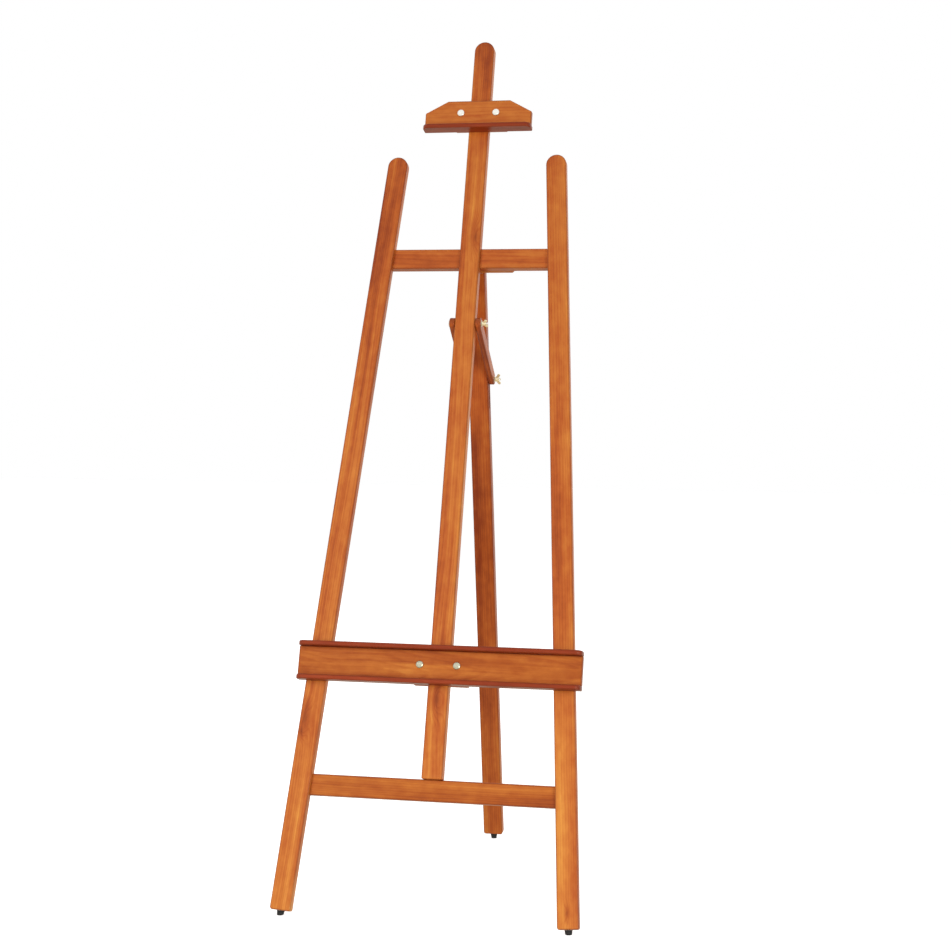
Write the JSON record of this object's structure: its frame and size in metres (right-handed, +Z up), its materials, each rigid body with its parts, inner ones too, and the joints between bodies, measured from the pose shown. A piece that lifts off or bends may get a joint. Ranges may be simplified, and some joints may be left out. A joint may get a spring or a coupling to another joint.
{
  "type": "a-frame easel",
  "caption": "Folding wooden studio easel: tapering front frame, central mast, hinged rear leg with strut bars, and a sliding tray and top clip clamped by wing nuts.",
  "frame": {"origin": "on the floor, in the middle of the easel's footprint", "axes": "+Z up; the front, where the canvas stands, faces -Y; +X to the right of somebody who faces the front"},
  "size_m": [0.5792, 0.6349, 1.6537],
  "materials": {
    "lacquered_wood": "satin lacquer over reddish-orange stained wood",
    "lacquered_wood_deep": "satin lacquer over deeper red-brown stained wood",
    "zinc_plated_steel": "zinc plated",
    "pale_brass": "pale plated brass",
    "black_rubber": "matt moulded"
  },
  "bodies": {
    "frame": {"left_leg": "lacquered_wood", "right_leg": "lacquered_wood", "mast": "lacquered_wood", "upper_crossbar": "lacquered_wood", "lower_crossbar": "lacquered_wood", "hinge_block": "lacquered_wood", "lower_crossbar_left_screw": "zinc_plated_steel", "lower_crossbar_right_screw": "zinc_plated_steel", "upper_crossbar_left_screw": "zinc_plated_steel", "upper_crossbar_right_screw": "zinc_plated_steel", "hinge_block_left_screw": "zinc_plated_steel", "hinge_block_right_screw": "zinc_plated_steel", "hinge_fixed_leaf": "zinc_plated_steel", "hinge_fixed_leaf_left_screw": "zinc_plated_steel", "hinge_fixed_leaf_right_screw": "zinc_plated_steel", "hinge_pin": "zinc_plated_steel", "left_foot": "black_rubber", "left_foot_screw": "zinc_plated_steel", "right_foot": "black_rubber", "right_foot_screw": "zinc_plated_steel", "strut_upper_bolt": "zinc_plated_steel", "strut_upper_washer": "zinc_plated_steel"},
    "rear_leg": {"rear_leg": "lacquered_wood", "rear_foot": "black_rubber", "rear_foot_screw": "zinc_plated_steel", "hinge_moving_leaf": "zinc_plated_steel", "hinge_moving_leaf_left_screw": "zinc_plated_steel", "hinge_moving_leaf_right_screw": "zinc_plated_steel"},
    "strut": {"strut_bar_left": "lacquered_wood", "strut_bar_right": "lacquered_wood", "strut_lower_bolt": "zinc_plated_steel", "strut_lower_washer": "zinc_plated_steel"},
    "tray": {"tray_fascia": "lacquered_wood", "tray_top_ledge": "lacquered_wood_deep", "tray_bottom_ledge": "lacquered_wood_deep", "tray_clamp_block": "lacquered_wood", "tray_left_bolt": "zinc_plated_steel", "tray_left_washer": "zinc_plated_steel", "tray_right_bolt": "zinc_plated_steel", "tray_right_washer": "zinc_plated_steel"},
    "clip": {"clip_plate": "lacquered_wood", "clip_ledge": "lacquered_wood_deep", "clip_clamp_block": "lacquered_wood", "clip_left_bolt": "zinc_plated_steel", "clip_left_washer": "zinc_plated_steel", "clip_right_bolt": "zinc_plated_steel", "clip_right_washer": "zinc_plated_steel"},
    "strut_upper_nut": {"strut_upper_wing_nut": "pale_brass"},
    "strut_lower_nut": {"strut_lower_wing_nut": "pale_brass"},
    "tray_left_nut": {"tray_left_wing_nut": "pale_brass"},
    "tray_right_nut": {"tray_right_wing_nut": "pale_brass"},
    "clip_left_nut": {"clip_left_wing_nut": "pale_brass"},
    "clip_right_nut": {"clip_right_wing_nut": "pale_brass"}
  },
  "joints": [
    {"name": "rear_leg_fold", "type": "hinge", "parent": "frame", "child": "rear_leg", "pos_m": [0, 0.11763, 1.21057], "axis": [-1, 0, 0], "range_deg": [0, 25]},
    {"name": "strut_swing", "type": "hinge", "parent": "frame", "child": "strut", "pos_m": [0, 0.04455, 1.08921], "axis": [-1, 0, 0], "range_deg": [0, 46.7]},
    {"name": "tray_slide", "type": "slide", "parent": "frame", "child": "tray", "axis": [0, 0.309, 0.9511], "range_m": [-0.16, 0.42]},
    {"name": "clip_slide", "type": "slide", "parent": "frame", "child": "clip", "axis": [0, 0.309, 0.9511], "range_m": [-0.24, 0.11]},
    {"name": "strut_upper_wing_nut_turn", "type": "hinge", "parent": "frame", "child": "strut_upper_nut", "pos_m": [0.0327, 0.04455, 1.08921], "axis": [1, 0, 0], "continuous": true},
    {"name": "strut_lower_wing_nut_turn", "type": "hinge", "parent": "strut", "child": "strut_lower_nut", "pos_m": [0.0327, 0.16588, 0.97762], "axis": [1, 0, 0], "continuous": true},
    {"name": "tray_left_wing_nut_turn", "type": "hinge", "parent": "tray", "child": "tray_left_nut", "pos_m": [-0.0356, -0.141, 0.44082], "axis": [0, 0.9511, -0.309], "continuous": true},
    {"name": "tray_right_wing_nut_turn", "type": "hinge", "parent": "tray", "child": "tray_right_nut", "pos_m": [0.0356, -0.141, 0.44082], "axis": [0, 0.9511, -0.309], "continuous": true},
    {"name": "clip_left_wing_nut_turn", "type": "hinge", "parent": "clip", "child": "clip_left_nut", "pos_m": [-0.0356, 0.20087, 1.49297], "axis": [0, 0.9511, -0.309], "continuous": true},
    {"name": "clip_right_wing_nut_turn", "type": "hinge", "parent": "clip", "child": "clip_right_nut", "pos_m": [0.0356, 0.20087, 1.49297], "axis": [0, 0.9511, -0.309], "continuous": true}
  ],
  "couplings": [
    {"joint": "strut_swing", "follows": "rear_leg_fold", "ratio": 1.867}
  ]
}
